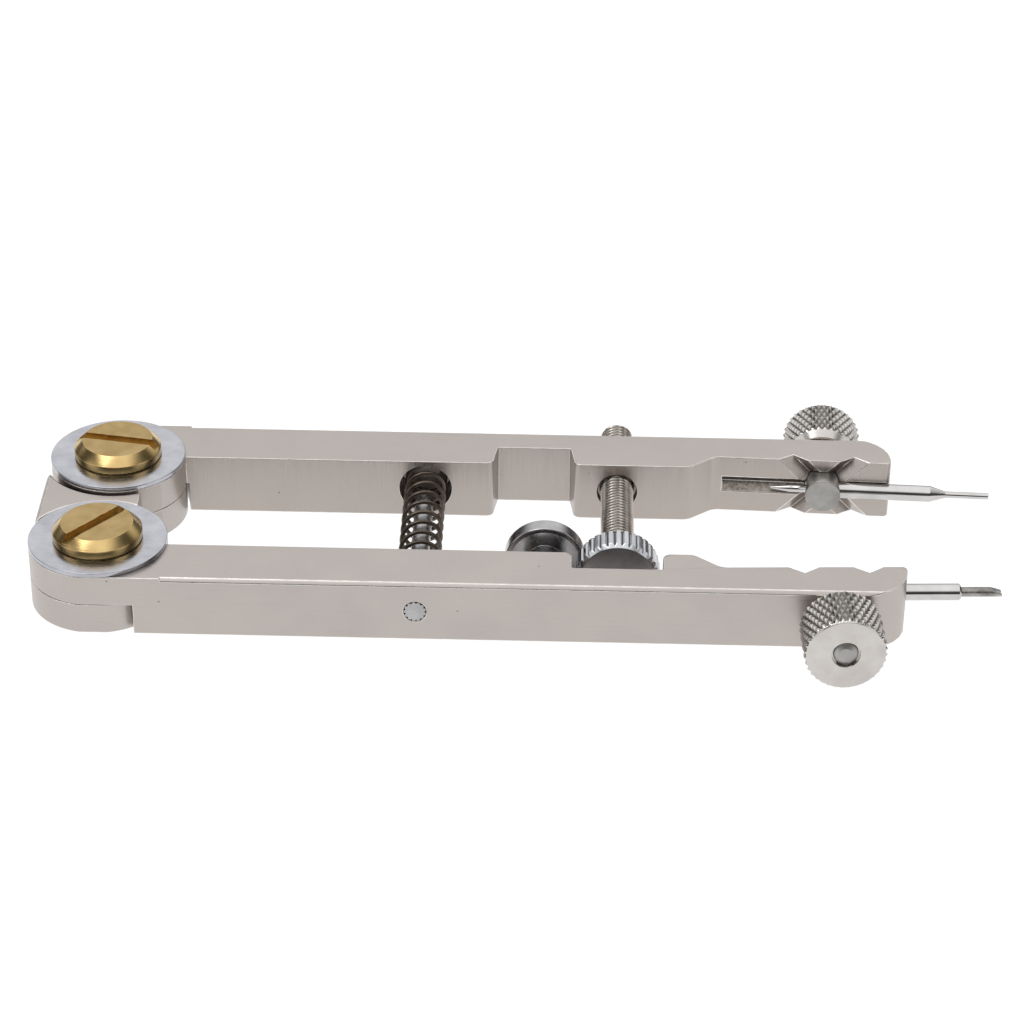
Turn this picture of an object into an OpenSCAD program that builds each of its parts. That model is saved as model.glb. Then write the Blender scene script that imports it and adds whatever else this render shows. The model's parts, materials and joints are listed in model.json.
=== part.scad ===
// Spring-bar plier: two square arms that pivot on a bridge, pushed open by a spring.
// X runs along the arms to the tips, Y across them, Z up. The origin is on the bridge's
// underside, midway between the two pivots.

/* [Arms] */
// Height of the square bar
bar_h = 9.5; // [8.5:0.1:12]
// Width of the square bar
bar_w = 9.5; // [8.5:0.1:12]
// Length of an arm, from its pivot to its end
arm_len = 118.4; // [113:0.1:150]
// Distance between the two pivots
pivot_spacing = 24; // [23:0.5:36]
// Chamfer on each arm's upper outer edge
edge_chamfer = 0.5; // [0.2:0.1:1]
// Radius of each arm's outer corner at its end
end_round = 6; // [3:0.5:7]
// How far before the clamp stud the inner face starts to fall away to the bit seat
nose_back = 20.7; // [18:0.1:22]
// Length of the slope from the inner face to the bit seat
nose_slope = 4; // [3:0.5:6]

/* [Pivots] */
// Radius of the round lugs
lug_r = 10.2; // [9:0.1:13]
// How far each arm's outer face cuts into the lug's circle
lug_flat = 0.2; // [0.1:0.1:0.8]
// Gap between the bridge's lug and the arm's lug above it
seam_gap = 0.06; // [0.02:0.01:0.2]
// Gap between the bridge's lug and the arm's pocket wall
pocket_gap = 0.4; // [0.2:0.1:1]
// Where the pocket's wall ends at the arm's outer face
shoulder_x = 6; // [5:0.5:8]
// How far the bridge's web reaches towards the tips
web_front = 4.6; // [3:0.1:6]
// Half the width of the web's raised part at its back
web_half = 7.6; // [5:0.1:9]
// Radius of the raised part's back corners
web_corner_r = 1.8; // [0.5:0.1:3]
// Gap between the web and each washer
web_gap = 0.6; // [0.3:0.1:1.5]
// Chamfer on the web's upper edges
web_chamfer = 0.5; // [0.2:0.1:1]
// Thickness of each pivot washer
washer_t = 0.7; // [0.4:0.1:1.5]
// Radius of each pivot screw's head
head_r = 6.6; // [5.5:0.1:8]
// Height of the straight band of the head
head_band = 1.3; // [0.8:0.1:2]
// Height and width of the head's bevel
head_bevel = 1.3; // [0.6:0.1:2]
// Width of the screwdriver slot
slot_w = 1.6; // [1:0.1:2.5]
// Depth of the screwdriver slot
slot_d = 1.1; // [0.6:0.1:1.8]
// Radius of the screw's shoulder, on which the arm turns
shoulder_r = 4; // [3:0.1:5]
// Radius of the screw's threaded end
thread_r = 2.9; // [2:0.1:3]

/* [Return spring] */
// Distance of the spring from the pivots
spring_x = 47; // [30:0.5:52]
// Radius of the guide pin's pressed end
guide_r = 1.65; // [1.2:0.05:2]
// Radius of the guide pin inside the spring
guide_stem_r = 1.4; // [1:0.05:1.6]
// Gap between the guide pin's end and the rear arm's inner face
guide_end_gap = 2; // [1:0.5:6]
// Mean radius of the spring's coil
coil_r = 2.9; // [2.4:0.1:3.4]
// Radius of the spring's wire
wire_r = 0.33; // [0.2:0.01:0.45]
// Number of turns of the spring
coil_turns = 11; // [8:1:16]
// Radius of the spring's hole in the rear arm
spring_hole_r = 4; // [3.9:0.1:4.2]
// Depth of the spring's hole in the rear arm
spring_hole_d = 6; // [3:0.5:7]

/* [Width stops] */
// Distance of the threaded rod from the pivots
rod_x = 76.4; // [74:0.1:78]
// Radius of the threaded rod
rod_r = 2.5; // [2:0.1:3]
// How far the rod stands out behind the rear arm
rod_out = 7.5; // [3:0.5:15]
// Radius of the recess round the rod in the rear arm
rod_recess_r = 3.05; // [3.05:0.05:4]
// Depth of the recess round the rod
rod_recess_d = 1.5; // [0.5:0.1:3]
// Radius of the knurled wheel
wheel_r = 6.2; // [5:0.1:6.5]
// Thickness of the knurled wheel
wheel_t = 4.2; // [3:0.1:5]
// Chamfer on the knurled wheel
wheel_chamfer = 0.6; // [0.3:0.1:1]
// Gap between the wheel and the side of the front arm's notch towards the tips
wheel_front_gap = 0.3; // [0.2:0.1:1]
// Gap between the wheel and the side of the notch towards the pivots, which the closing arms use up
wheel_back_gap = 0.6; // [0.6:0.1:1.5]
// Travel of the wheel to the bottom of the front arm's notch
wheel_travel = 4.2; // [3.6:0.1:5]
// Distance of the catch screw from the pivots
catch_x = 65.6; // [64.8:0.1:66.4]
// Radius of the catch screw's disc
catch_r = 6; // [5:0.1:6.5]
// Thickness of the catch screw's disc
catch_t = 2.6; // [1.5:0.1:4]
// Gap between the wheel's back and the catch screw's disc
catch_gap = 0.1; // [0.05:0.05:1]
// Depth of the hollow in the disc's front face
catch_dish = 0.9; // [0.4:0.1:1.2]
// Radius of the catch screw's shank
catch_shank_r = 2; // [1.5:0.1:2.5]
// Length of the catch screw's shank inside the front arm
catch_grip = 6.7; // [4:0.1:7.5]
// Where the rear arm's notch starts
rear_notch_x = 57.3; // [55:0.1:59]
// Length of the rear arm's notch
rear_notch_len = 12.6; // [11:0.1:13.5]
// Depth of the rear arm's notch
rear_notch_d = 4.8; // [3:0.1:5.5]
// How far each side of the rear arm's notch leans outwards
rear_notch_lean = 0.7; // [0:0.1:1.5]

/* [Bit clamps] */
// Distance of the clamp stud from the arm's end
stud_inset = 10.3; // [9.3:0.1:12.3]
// Depth of the bit seat below the inner face, at the stud
seat_d = 2.55; // [2:0.05:3.5]
// Angle at which the bit seats lean towards each other
toe_deg = 2.5; // [0:0.5:4]
// Radius of the stud's head
stud_head_r = 2.7; // [2.4:0.1:3.2]
// Length of the stud's head
stud_head_len = 4.6; // [4:0.1:5.5]
// Radius of the stud's threaded end
stud_r = 1.8; // [1.5:0.05:2.2]
// Radius of the clamp nuts
nut_r = 6; // [4.5:0.1:7]
// Length of the clamp nuts
nut_len = 8.7; // [6:0.1:12]
// Chamfer at the clamp nut's end next to the arm
nut_near_chamfer = 1.2; // [0.5:0.1:2]
// Chamfer at the clamp nut's outer end
nut_far_chamfer = 0.5; // [0.3:0.1:1]
// Depth of the groove that the bit lies in
groove_d = 1.3; // [0.8:0.05:1.6]
// Depth of the two slanted grooves
slant_groove_d = 1.6; // [1:0.1:2]
// Where the bit's groove starts, before the stud
groove_back = 15.5; // [12:0.1:16]
// Gap between the stud's head and the bottom of its recess in the arm
stud_room = 1.2; // [0.8:0.1:2]

/* [Bits] */
// Radius of each bit's barrel
bit_r = 1.25; // [1:0.05:1.5]
// Reach of the pin bit's barrel past the stud
pin_barrel = 16.4; // [12:0.1:20]
// Length of the cone between barrel and pin
pin_cone = 2.4; // [1:0.1:4]
// Radius of the pin bit's pin
pin_r = 0.5; // [0.3:0.05:0.8]
// Length of the pin bit's pin
pin_len = 6.6; // [3:0.1:8]
// Radius of the needle on the pin bit's other end
needle_r = 0.6; // [0.4:0.05:0.8]
// Length of the needle
needle_len = 6.2; // [5:0.1:7]
// Reach of the fork bit's barrel past the stud
fork_barrel = 18.6; // [12:0.1:20]
// Radius of the fork tip
fork_r = 0.72; // [0.6:0.01:1]
// Length of the fork tip outside its barrel
fork_len = 6; // [4:0.1:8]

/* [Fits] */
// Radial gap of a part that turns or slides in a hole
running_fit = 0.03; // [0.02:0.01:0.08]
// Radial gap of a part that is pressed or screwed in
fixed_fit = 0.01; // [0.01:0.01:0.05]

/* [Hidden] */
$fn = 96;

steel = [0.74, 0.72, 0.70];
ground_steel = [0.66, 0.68, 0.72];
brass = [0.80, 0.62, 0.28];
spring_steel = [0.42, 0.38, 0.32];
bright_steel = [0.82, 0.83, 0.84];

// Lugs that grow past each other push the pivots apart
lug_clearance = 0.5;
pivot_y = max(pivot_spacing / 2, lug_r + lug_clearance);
outer_y = pivot_y + lug_r - lug_flat;
inner_y = outer_y - bar_w;
mid_z = bar_h / 2;
stud_x = arm_len - stud_inset;
nose_x = stud_x - nose_back;
far = 400;

seam_low_z = mid_z - seam_gap / 2;
seam_high_z = mid_z + seam_gap / 2;
washer_z = bar_h + running_fit;
head_z = washer_z + washer_t;
head_top_z = head_z + head_band + head_bevel;
screw_end_z = 0.5;
front_slot_deg = 51;
rear_slot_deg = -10;

corner_steps = 6;
notch_mouth_r = 1.1;
notch_root_r = 0.3;
nose_r = 1.3;
slope_r = 2.5;
end_r = 0.8;

rear_notch_end = rear_notch_x + rear_notch_len;
wheel_front_y = -inner_y;
wheel_back_y = wheel_front_y + wheel_t;
wheel_skin = 1;
catch_front_y = wheel_back_y + catch_gap;
notch_start_x = rod_x - wheel_r - wheel_back_gap;
notch_end_x = rod_x + wheel_r + wheel_front_gap;

// The nut's rim clears the arm's outer face, which leans to the stud
nut_gap = 0.05;
nut_v = seat_d + (bar_w - seat_d) / cos(toe_deg) + (nut_r - nut_near_chamfer) * tan(toe_deg) + nut_gap;

bit_rise = bit_r * sqrt(2) - groove_d + running_fit;
bit_d = seat_d - bit_rise;
barrel_back = 2;
fork_barrel_back = 6;
socket = 3;
point_r = 0.05;
tip_chamfer = 0.3;

function seat(x) = seat_d - tan(toe_deg) * (x - stud_x);
function unit(v) = v / norm(v);
function turned(v, a) = [v.x * cos(a) - v.y * sin(a), v.x * sin(a) + v.y * cos(a)];

// The points of one corner at p, between a and b, rounded to radius r
function corner(p, a, b, r) =
    r == 0 ? [p] :
    let (
        u = unit(a - p),
        w = unit(b - p),
        half = acos(u * w) / 2,
        c = p + unit(u + w) * r / sin(half),
        start = p + u * r / tan(half) - c,
        sweep = (cross(u, w) > 0 ? -1 : 1) * (180 - 2 * half)
    )
    [for (i = [0:corner_steps]) c + turned(start, sweep * i / corner_steps)];

// An outline of [x, y, corner radius] points with its corners rounded
function rounded(pts) = [
    for (i = [0:len(pts) - 1])
        let (n = len(pts), p = pts[i], a = pts[(i + n - 1) % n], b = pts[(i + 1) % n])
        each corner([p.x, p.y], [a.x, a.y], [b.x, b.y], p[2])
];

// Side of a part that turns about Y, from y0 to y1
module along_y(x, y0) translate([x, y0, mid_z]) rotate([-90, 0, 0]) children();

// In an arm's own frame, y is the depth below the arm's inner face
module rear_side() translate([0, inner_y, 0]) children();
module front_side() mirror([0, 1, 0]) rear_side() children();

// Frame of the bit seat: x along the seat, y into the arm, at the stud
module on_seat(d) translate([stud_x, d, mid_z]) rotate([0, 0, -toe_deg]) children();
module along_bit() on_seat(bit_d) rotate([0, 90, 0]) children();

// Along the clamp stud, square to the bit seat, from v0 behind the plane of the stud's inner end
module along_stud(v0) on_seat(seat_d) translate([0, v0 - seat_d, 0]) rotate([-90, 0, 0]) children();

// Right-angled groove along x, cut to a depth along +y; its cutter stands clear above y = 0
module vee_cut(length, depth) {
    side = 3 * depth;
    translate([0, depth - side / sqrt(2), 0]) rotate([45, 0, 0]) cube([length, side, side], center = true);
}

// Chamfer of an edge that lies along x, with the material at -y and -z
module chamfer_cut(length, size) {
    side = 4 * size;
    rotate([45, 0, 0]) translate([0, side / 2 - size / sqrt(2), 0]) cube([length, side, side], center = true);
}

// What both arms share: lug, bar, pivot hole, chamfer, stud hole and bit grooves
module arm_blank(outline) {
    lug_v = pivot_y - inner_y;
    difference() {
        union() {
            linear_extrude(bar_h) polygon(rounded(outline));
            intersection() {
                translate([0, lug_v, seam_high_z]) cylinder(r = lug_r, h = bar_h - seam_high_z);
                translate([-far / 2, bar_w - far, 0]) cube([far, far, bar_h]);
            }
        }
        translate([0, lug_v, -1]) cylinder(r = lug_r + pocket_gap, h = seam_high_z + 1);
        translate([-far / 2, -1, -1]) cube([far / 2 + shoulder_x, bar_w + 2, seam_high_z + 1]);
        translate([0, lug_v, -1]) cylinder(r = shoulder_r + running_fit, h = bar_h + 2);
        translate([lug_r + far / 2, bar_w, bar_h]) chamfer_cut(far, edge_chamfer);
        along_stud(-1) cylinder(r = stud_r + running_fit, h = bar_w + 2);
        along_stud(-1) cylinder(r = stud_head_r + 0.05, h = stud_head_len + stud_room + 1);
        on_seat(seat_d) {
            translate([far / 2 - groove_back, 0, 0]) vee_cut(far, groove_d);
            for (a = [-45, 45]) rotate([0, a, 0]) vee_cut(3 * bar_h, slant_groove_d);
        }
    }
}

function arm_tail() = [
    [nose_x, 0, slope_r],
    [nose_x + nose_slope, seat(nose_x + nose_slope), slope_r],
    [arm_len, seat(arm_len), end_r],
    [arm_len, bar_w, end_round],
    [0, bar_w, 0]
];

module front_arm() {
    outline = concat([
        [0, 0, 0],
        [notch_start_x, 0, notch_mouth_r],
        [notch_start_x, wheel_travel, notch_root_r],
        [notch_end_x, wheel_travel, notch_root_r],
        [notch_end_x, 0, nose_r]
    ], arm_tail());
    color(steel) front_side() difference() {
        arm_blank(outline);
        along_y(spring_x, -1) cylinder(r = guide_r + fixed_fit, h = bar_w + 2);
        along_y(catch_x, -1) cylinder(r = catch_shank_r + running_fit, h = catch_grip + 1.3);
    }
}

module rear_arm() {
    outline = concat([
        [0, 0, 0],
        [rear_notch_x, 0, notch_mouth_r],
        [rear_notch_x + rear_notch_lean, rear_notch_d, notch_root_r],
        [rear_notch_end - rear_notch_lean, rear_notch_d, notch_root_r],
        [rear_notch_end, 0, notch_mouth_r]
    ], arm_tail());
    color(steel) rear_side() difference() {
        arm_blank(outline);
        along_y(spring_x, -1) cylinder(r = spring_hole_r, h = spring_hole_d + 1);
        along_y(rod_x, -1) cylinder(r = rod_r + running_fit, h = bar_w + 2);
        along_y(rod_x, -1) cylinder(r = rod_recess_r, h = rod_recess_d + 1);
    }
}

// Round lugs at half height, joined by a full-height web with a hollow for each arm's lug
module bridge() {
    arc_r = lug_r + web_gap;
    color(steel) difference() {
        union() {
            intersection() {
                for (side = [-1, 1]) translate([0, side * pivot_y, 0]) cylinder(r = lug_r, h = seam_low_z);
                translate([-far / 2, -outer_y, 0]) cube([far, 2 * outer_y, bar_h]);
            }
            difference() {
                union() {
                    translate([-lug_r, -pivot_y, 0]) cube([lug_r + web_front, 2 * pivot_y, seam_low_z]);
                    linear_extrude(bar_h) polygon(rounded([
                        [-lug_r, -web_half, web_corner_r], [web_front, -web_half, 0],
                        [web_front, web_half, 0], [-lug_r, web_half, web_corner_r]
                    ]));
                }
                for (side = [-1, 1]) translate([0, side * pivot_y, seam_low_z]) {
                    cylinder(r = arc_r, h = bar_h);
                    translate([0, 0, bar_h - seam_low_z - web_chamfer])
                        cylinder(r1 = arc_r, r2 = arc_r + 2 * web_chamfer, h = 2 * web_chamfer);
                }
                translate([-lug_r, 0, bar_h]) rotate([0, 0, 90]) chamfer_cut(far, web_chamfer);
            }
        }
        for (side = [-1, 1])
            translate([0, side * pivot_y, -1]) cylinder(r = thread_r + fixed_fit, h = bar_h);
    }
}

module pivot_washer(side) {
    color(ground_steel) translate([0, side * pivot_y, washer_z]) difference() {
        cylinder(r = lug_r, h = washer_t);
        translate([0, 0, -1]) cylinder(r = shoulder_r + fixed_fit, h = washer_t + 2);
    }
}

// Slotted shoulder screw: thread, shoulder, straight band, bevel
module pivot_screw(side, slot_deg) {
    color(brass) translate([0, side * pivot_y, 0]) difference() {
        union() {
            translate([0, 0, screw_end_z]) cylinder(r = thread_r, h = seam_low_z - screw_end_z);
            translate([0, 0, seam_low_z]) cylinder(r = shoulder_r, h = head_z - seam_low_z);
            translate([0, 0, head_z]) cylinder(r = head_r, h = head_band);
            translate([0, 0, head_z + head_band])
                cylinder(r1 = head_r, r2 = head_r - head_bevel, h = head_bevel);
        }
        translate([0, 0, head_top_z]) rotate([0, 0, slot_deg])
            cube([3 * head_r, slot_w, 2 * slot_d], center = true);
    }
}

module spring_guide_pin() {
    color(bright_steel) {
        along_y(spring_x, -outer_y) cylinder(r = guide_r, h = bar_w);
        along_y(spring_x, -inner_y) cylinder(r = guide_stem_r, h = 2 * inner_y - guide_end_gap);
    }
}

// A coil swept with an eight-sided wire, with a closed turn at each end
module return_spring() {
    length = 2 * inner_y + spring_hole_d;
    sides = 8;
    per_turn = 24;
    rings = coil_turns * per_turn;
    rise = length - 2 * wire_r;
    function pitch_share(t) = t < 1 ? 0.08 * t : t > coil_turns - 1
        ? 1 - 0.08 * (coil_turns - t) : 0.08 + 0.84 * (t - 1) / (coil_turns - 2);
    points = [
        for (i = [0:rings])
            let (t = i / per_turn, y = wire_r + rise * pitch_share(t))
            for (k = [0:sides - 1])
                let (r = coil_r + wire_r * cos(k * 360 / sides))
                [r * cos(t * 360), r * sin(t * 360), y + wire_r * sin(k * 360 / sides)]
    ];
    walls = [
        for (i = [0:rings - 1], k = [0:sides - 1])
            let (a = i * sides + k, b = i * sides + (k + 1) % sides)
            each [[a, b, b + sides], [a, b + sides, a + sides]]
    ];
    start_cap = [for (k = [sides - 1:-1:0]) k];
    end_cap = [for (k = [0:sides - 1]) rings * sides + k];
    color(spring_steel) along_y(spring_x, -inner_y)
        polyhedron(points, concat(walls, [start_cap, end_cap]));
}

module width_rod() {
    start_y = wheel_front_y + wheel_skin;
    end_y = outer_y + rod_out;
    chamfer = 0.6;
    color(bright_steel) {
        along_y(rod_x, start_y) cylinder(r = rod_r, h = end_y - start_y - chamfer);
        along_y(rod_x, end_y - chamfer) cylinder(r1 = rod_r, r2 = rod_r - chamfer, h = chamfer);
    }
}

module width_wheel() {
    color(ground_steel) difference() {
        along_y(rod_x, wheel_front_y) rotate_extrude() polygon([
            [0, 0], [wheel_r - wheel_chamfer, 0], [wheel_r, wheel_chamfer],
            [wheel_r, wheel_t - wheel_chamfer / 2], [wheel_r - wheel_chamfer / 2, wheel_t], [0, wheel_t]
        ]);
        along_y(rod_x, wheel_front_y + wheel_skin) cylinder(r = rod_r + running_fit, h = wheel_t);
    }
}

// Screw with a thin disc that catches the back of the wheel when the arms open
module catch_screw() {
    rim = 0.7;
    hub_r = catch_shank_r + 0.6;
    reach = catch_front_y + inner_y;
    color(ground_steel) along_y(catch_x, catch_front_y) rotate_extrude() polygon([
        [0, -reach - catch_grip], [catch_shank_r, -reach - catch_grip], [catch_shank_r, -1],
        [hub_r, catch_dish], [catch_r - rim, 0], [catch_r, 0],
        [catch_r, catch_t - tip_chamfer], [catch_r - tip_chamfer, catch_t], [0, catch_t]
    ]);
}

// Cross-drilled stud: its head pulls the bit into the groove as the nut is tightened
module clamp_stud() {
    shank_end = nut_v + nut_len - tip_chamfer;
    color(ground_steel) difference() {
        union() {
            along_stud(0) cylinder(r = stud_head_r, h = stud_head_len);
            along_stud(0) cylinder(r = stud_r, h = shank_end);
            along_stud(shank_end) cylinder(r1 = stud_r, r2 = stud_r - tip_chamfer, h = tip_chamfer);
        }
        along_bit() cylinder(r = bit_r + running_fit, h = 4 * stud_head_r, center = true);
    }
}

module clamp_nut() {
    sink = 0.6;
    sink_r = stud_r + 0.25;
    color(bright_steel) along_stud(nut_v) rotate_extrude() polygon([
        [stud_r + running_fit, 0], [nut_r - nut_near_chamfer, 0], [nut_r, nut_near_chamfer],
        [nut_r, nut_len - nut_far_chamfer], [nut_r - nut_far_chamfer, nut_len],
        [sink_r, nut_len], [sink_r, nut_len - sink], [stud_r + running_fit, nut_len - sink]
    ]);
}

// The fork bit's barrel, bored for its tip
module front_bit_barrel() {
    color(bright_steel) front_side() along_bit() rotate_extrude() polygon([
        [0, -fork_barrel_back], [bit_r - tip_chamfer, -fork_barrel_back],
        [bit_r, tip_chamfer - fork_barrel_back], [bit_r, fork_barrel - tip_chamfer],
        [bit_r - tip_chamfer, fork_barrel], [fork_r + fixed_fit, fork_barrel],
        [fork_r + fixed_fit, fork_barrel - socket], [0, fork_barrel - socket]
    ]);
}

// Forked blade with a slanted top, to push a spring bar's collar
module front_fork_tip() {
    slant_len = 2.1;
    tip_left = 0.6;
    notch_w = 0.4;
    notch_len = 0.9;
    tip = fork_barrel + fork_len;
    drop = 2 * fork_r - tip_left;
    color(bright_steel) front_side() along_bit() difference() {
        translate([0, 0, fork_barrel - socket]) cylinder(r = fork_r, h = fork_len + socket, $fn = 48);
        rotate([90, 0, 0]) linear_extrude(4 * fork_r, center = true) polygon([
            [drop - fork_r, tip], [-drop - fork_r, tip - 2 * slant_len],
            [-drop - fork_r, tip + slant_len], [drop - fork_r, tip + slant_len]
        ]);
        translate([0, 0, tip]) cube([4 * fork_r, notch_w, 2 * notch_len], center = true);
    }
}

// Double-ended bit: a straight pin towards the tip and a needle point behind the stud
module rear_pin_bit() {
    color(bright_steel) rear_side() along_bit() rotate_extrude() polygon([
        [0, -barrel_back - needle_len], [point_r, -barrel_back - needle_len],
        [needle_r, -barrel_back - needle_len / 2], [needle_r, -barrel_back],
        [bit_r, -barrel_back], [bit_r, pin_barrel], [pin_r, pin_barrel + pin_cone],
        [pin_r, pin_barrel + pin_cone + pin_len - point_r],
        [pin_r - point_r, pin_barrel + pin_cone + pin_len], [0, pin_barrel + pin_cone + pin_len]
    ]);
}

bridge();
pivot_washer(-1);  // front_pivot_washer
pivot_washer(1);  // rear_pivot_washer
pivot_screw(-1, front_slot_deg);  // front_pivot_screw
pivot_screw(1, rear_slot_deg);  // rear_pivot_screw
front_arm();
rear_arm();
spring_guide_pin();
return_spring();
width_rod();
width_wheel();
catch_screw();
front_side() clamp_stud();  // front_clamp_stud
rear_side() clamp_stud();  // rear_clamp_stud
front_side() clamp_nut();  // front_clamp_nut
rear_side() clamp_nut();  // rear_clamp_nut
front_bit_barrel();
front_fork_tip();
rear_pin_bit();
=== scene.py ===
# %% [markdown]
# # A spring-bar plier
#
# This tool pushes the spring bar out of a watch bracelet. Two square arms turn on a
# bridge, a spring holds them open, and each arm ends in a clamped bit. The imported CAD
# model gives every place and size; the cells below give each piece its real edges,
# knurls, threads and finish.

# %% Load the frame
import json
import math

import bmesh
import bpy
from mathutils import Matrix, Vector, noise


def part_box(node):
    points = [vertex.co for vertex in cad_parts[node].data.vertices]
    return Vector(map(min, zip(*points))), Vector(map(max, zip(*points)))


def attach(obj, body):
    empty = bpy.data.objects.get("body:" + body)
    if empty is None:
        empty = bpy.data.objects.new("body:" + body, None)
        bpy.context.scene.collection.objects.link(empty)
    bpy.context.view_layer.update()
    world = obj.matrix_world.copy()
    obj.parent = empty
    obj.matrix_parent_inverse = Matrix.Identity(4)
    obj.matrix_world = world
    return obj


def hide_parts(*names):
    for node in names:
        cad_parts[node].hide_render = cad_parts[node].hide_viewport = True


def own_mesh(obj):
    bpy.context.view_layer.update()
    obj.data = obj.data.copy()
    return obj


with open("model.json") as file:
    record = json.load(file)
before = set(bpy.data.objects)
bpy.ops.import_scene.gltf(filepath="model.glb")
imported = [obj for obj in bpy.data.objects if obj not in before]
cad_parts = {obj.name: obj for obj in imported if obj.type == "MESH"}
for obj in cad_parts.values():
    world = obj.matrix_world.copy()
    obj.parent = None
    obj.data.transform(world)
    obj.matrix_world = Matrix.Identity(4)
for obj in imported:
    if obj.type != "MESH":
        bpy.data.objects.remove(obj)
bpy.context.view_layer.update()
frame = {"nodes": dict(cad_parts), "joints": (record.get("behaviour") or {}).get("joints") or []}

MM = 0.001
TAU = 2 * math.pi

# %% [markdown]
# ## Camera
#
# The camera comes first, because it says how large a detail has to be to show. A long
# lens from about half a metre keeps the two arms nearly parallel. The tool is seen from
# in front of one arm and a third of the way up, so both screw heads and both bits show.

# %% Camera
CAMERA_TARGET = Vector((60.3, 13.8, 0)) * MM
CAMERA_DISTANCE = 501.7 * MM
CAMERA_AZIMUTH = math.radians(0.97)
CAMERA_ELEVATION = math.radians(31.6)
CAMERA_ROLL = math.radians(0.64)
CAMERA_LENS_MM = 113.9
SENSOR_MM = 36


def look_direction(azimuth, elevation):
    """The unit vector from the target back to a camera; azimuth 0 looks along +Y."""
    level = math.cos(elevation)
    return Vector((math.sin(azimuth) * level, -math.cos(azimuth) * level, math.sin(elevation)))


def place_camera():
    """The scene's camera, aimed at the target and rolled a little."""
    back = look_direction(CAMERA_AZIMUTH, CAMERA_ELEVATION)
    right = Vector((math.cos(CAMERA_AZIMUTH), math.sin(CAMERA_AZIMUTH), 0))
    turn = Matrix((right, back.cross(right), back)).transposed().to_4x4()
    data = bpy.data.cameras.new("camera")
    data.lens = CAMERA_LENS_MM
    data.sensor_width = SENSOR_MM
    data.clip_start = 10 * MM
    made = bpy.data.objects.new("camera", data)
    bpy.context.scene.collection.objects.link(made)
    place = Matrix.Translation(CAMERA_TARGET + back * CAMERA_DISTANCE)
    made.matrix_world = place @ turn @ Matrix.Rotation(CAMERA_ROLL, 4, "Z")
    bpy.context.scene.camera = made
    return made


camera = place_camera()
print("camera at, mm:", [round(value / MM) for value in camera.location])

# %% [markdown]
# ## Helpers for nodes and colours
#
# A colour picked on a screen is in sRGB, but the renderer works with linear light, so
# one function turns a hex value into linear numbers. Another adds a node to any tree.
# It takes the node's settings, and for each input a number, an output of another node, or
# the other node itself, which then stands for its first output in use.


# %% Node and colour helpers
def linear(hex_code, alpha=1.0):
    """The linear colour of an sRGB hex value such as C2BCB8."""
    channels = [int(hex_code[i:i + 2], 16) / 255 for i in (0, 2, 4)]
    lit = [c / 12.92 if c <= 0.04045 else ((c + 0.055) / 1.055) ** 2.4 for c in channels]
    return (*lit, alpha)


def add(tree, kind, inputs=None, **settings):
    """Adds one node; inputs maps a socket's name or number to a value, an output or a node."""
    made = tree.nodes.new(kind)
    for name, value in settings.items():
        setattr(made, name, value)
    for key, value in (inputs or {}).items():
        if isinstance(value, bpy.types.Node):
            value = next(output for output in value.outputs if output.enabled)
        if isinstance(value, bpy.types.NodeSocket):
            tree.links.new(value, made.inputs[key])
        else:
            made.inputs[key].default_value = value
    return made


print("mid grey 808080 is", round(linear("808080")[0], 3), "in linear light")

# %% [markdown]
# ## Finishes
#
# Every finish starts from what the metal is and how its surface was made. All patterns
# are worked out from real sizes in millimetres, on Object coordinates, which lie in the
# piece itself and so move with it. Patterns finer than about a quarter of a millimetre
# don't show from half a metre, so they are drawn that coarse.
#
# Noise seldom leaves the span from 0.3 to 0.7, so a Map Range node stretches that span to
# whatever a pattern steers. In a Mix node, input 0 is the share of the second value;
# inputs 2 and 3 are the two numbers, and inputs 6 and 7 are the two colours.

# %% Pattern helpers
NOISE_SPAN = {"From Min": 0.3, "From Max": 0.7}


def metal(name, colour, roughness):
    """A material with one metal shader; returns the material, its tree and its shader."""
    made = bpy.data.materials.new(name)
    made.use_nodes = True
    tree = made.node_tree
    tree.nodes.clear()
    shader = add(tree, "ShaderNodeBsdfPrincipled", {
        "Base Color": linear(colour), "Metallic": 1.0, "Roughness": roughness
    })
    add(tree, "ShaderNodeOutputMaterial", {"Surface": shader})
    return made, tree, shader


def in_mm(tree, stretch=(1, 1, 1)):
    """Object coordinates in millimetres, divided by a stretch along each axis."""
    place = add(tree, "ShaderNodeTexCoord").outputs["Object"]
    scale = [1 / (MM * s) for s in stretch]
    return add(tree, "ShaderNodeMapping", {"Vector": place, "Scale": scale})


def grain(tree, size, detail=2.0, stretch=(1, 1, 1)):
    """Noise from 0 to 1 whose grains are this many millimetres wide."""
    place = in_mm(tree, [size * s for s in stretch])
    return add(tree, "ShaderNodeTexNoise", {"Vector": place, "Scale": 1.0, "Detail": detail})


def dots(tree, spacing, radius, share):
    """1 on scattered dots: cells of this spacing, a share of which hold a dot."""
    place = in_mm(tree, [spacing] * 3)
    cells = add(tree, "ShaderNodeTexVoronoi", {"Vector": place, "Scale": 1.0}).outputs
    near = add(tree, "ShaderNodeMath", {0: cells["Distance"], 1: radius / spacing}, operation="LESS_THAN")
    draw = add(tree, "ShaderNodeSeparateColor", {0: cells["Color"]})
    chosen = add(tree, "ShaderNodeMath", {0: draw, 1: share}, operation="LESS_THAN")
    return add(tree, "ShaderNodeMath", {0: near, 1: chosen}, operation="MULTIPLY")
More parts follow.
